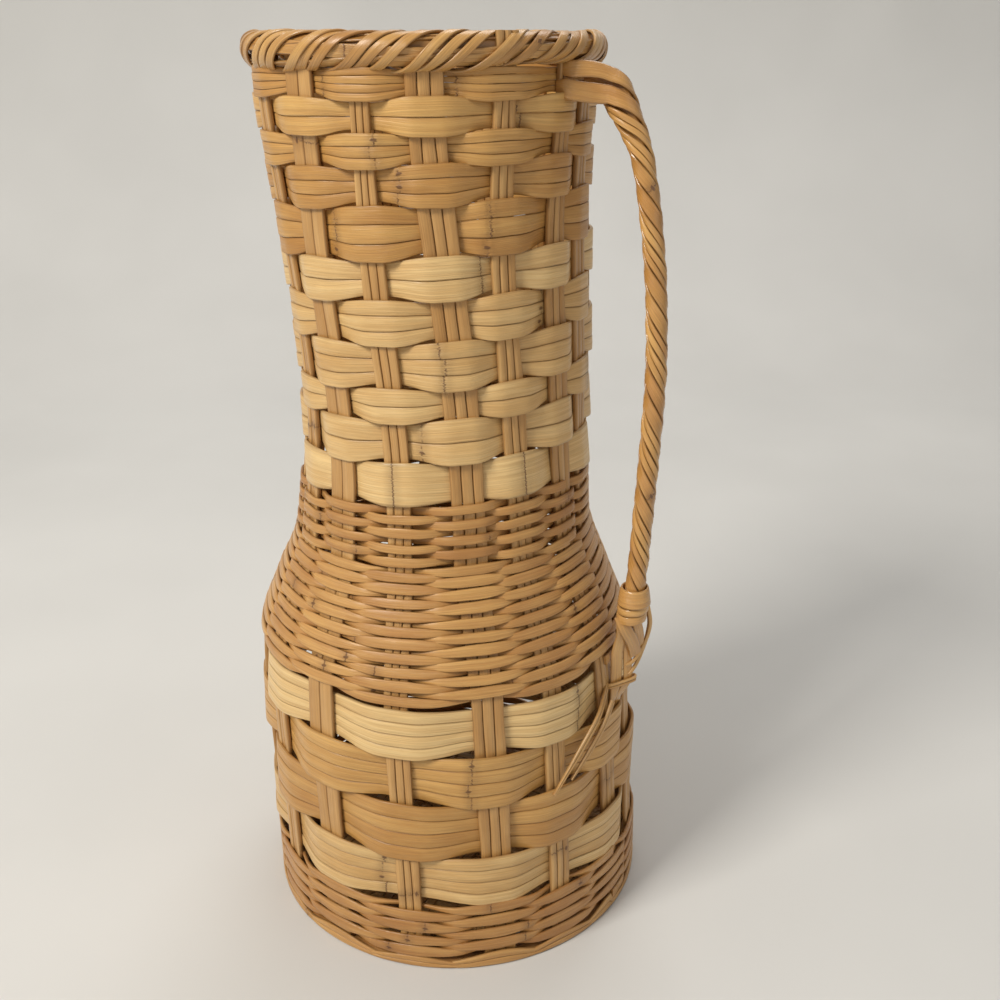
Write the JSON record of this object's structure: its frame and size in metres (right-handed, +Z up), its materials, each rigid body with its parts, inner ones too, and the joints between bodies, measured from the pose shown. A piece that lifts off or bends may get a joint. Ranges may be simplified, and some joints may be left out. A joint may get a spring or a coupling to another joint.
{
  "type": "wicker pitcher vase",
  "caption": "Tall woven reed vase with a wide belly, a flaring neck, a rolled rim and one roped side handle.",
  "frame": {"origin": "centre of the flat underside, on the surface that the vase stands on", "axes": "+Z up along the vase's height, +X from the foot's centre towards the handle, +Y across"},
  "size_m": [0.2263, 0.2114, 0.46],
  "materials": {
    "stake_reed": "satin",
    "band_reed": "satin",
    "weaver_reed": "satin",
    "rope_reed": "satin",
    "tie_reed": "satin"
  },
  "bodies": {
    "root": {"stake_01": "stake_reed", "stake_02": "stake_reed", "stake_03": "stake_reed", "stake_04": "stake_reed", "stake_05": "stake_reed", "stake_06": "stake_reed", "stake_07": "stake_reed", "stake_08": "stake_reed", "stake_09": "stake_reed", "stake_10": "stake_reed", "stake_11": "stake_reed", "stake_12": "stake_reed", "stake_13": "stake_reed", "stake_14": "stake_reed", "stake_15": "stake_reed", "stake_16": "stake_reed", "belly_band_1": "band_reed", "belly_band_2": "band_reed", "belly_band_3": "band_reed", "belly_band_4": "band_reed", "neck_band_01": "band_reed", "neck_band_02": "band_reed", "neck_band_03": "band_reed", "neck_band_04": "band_reed", "neck_band_05": "band_reed", "neck_band_06": "band_reed", "neck_band_07": "band_reed", "neck_band_08": "band_reed", "neck_band_09": "band_reed", "neck_band_10": "band_reed", "neck_band_11": "band_reed", "base_weaver_a": "weaver_reed", "base_weaver_b": "weaver_reed", "shoulder_weaver_a": "weaver_reed", "shoulder_weaver_b": "weaver_reed", "collar_weaver_a": "weaver_reed", "collar_weaver_b": "weaver_reed", "foot_border": "weaver_reed", "base_mat": "weaver_reed", "rim_core": "rope_reed", "rim_strand_1": "rope_reed", "rim_strand_2": "rope_reed", "rim_strand_3": "rope_reed", "handle_core": "rope_reed", "handle_strand_1": "rope_reed", "handle_strand_2": "rope_reed", "handle_strand_3": "rope_reed", "handle_strand_4": "rope_reed", "handle_end_1": "rope_reed", "handle_end_2": "rope_reed", "handle_binding": "tie_reed", "handle_lashing": "tie_reed", "handle_tie": "tie_reed", "handle_tail_1": "tie_reed", "handle_tail_2": "tie_reed"}
  },
  "joints": []
}
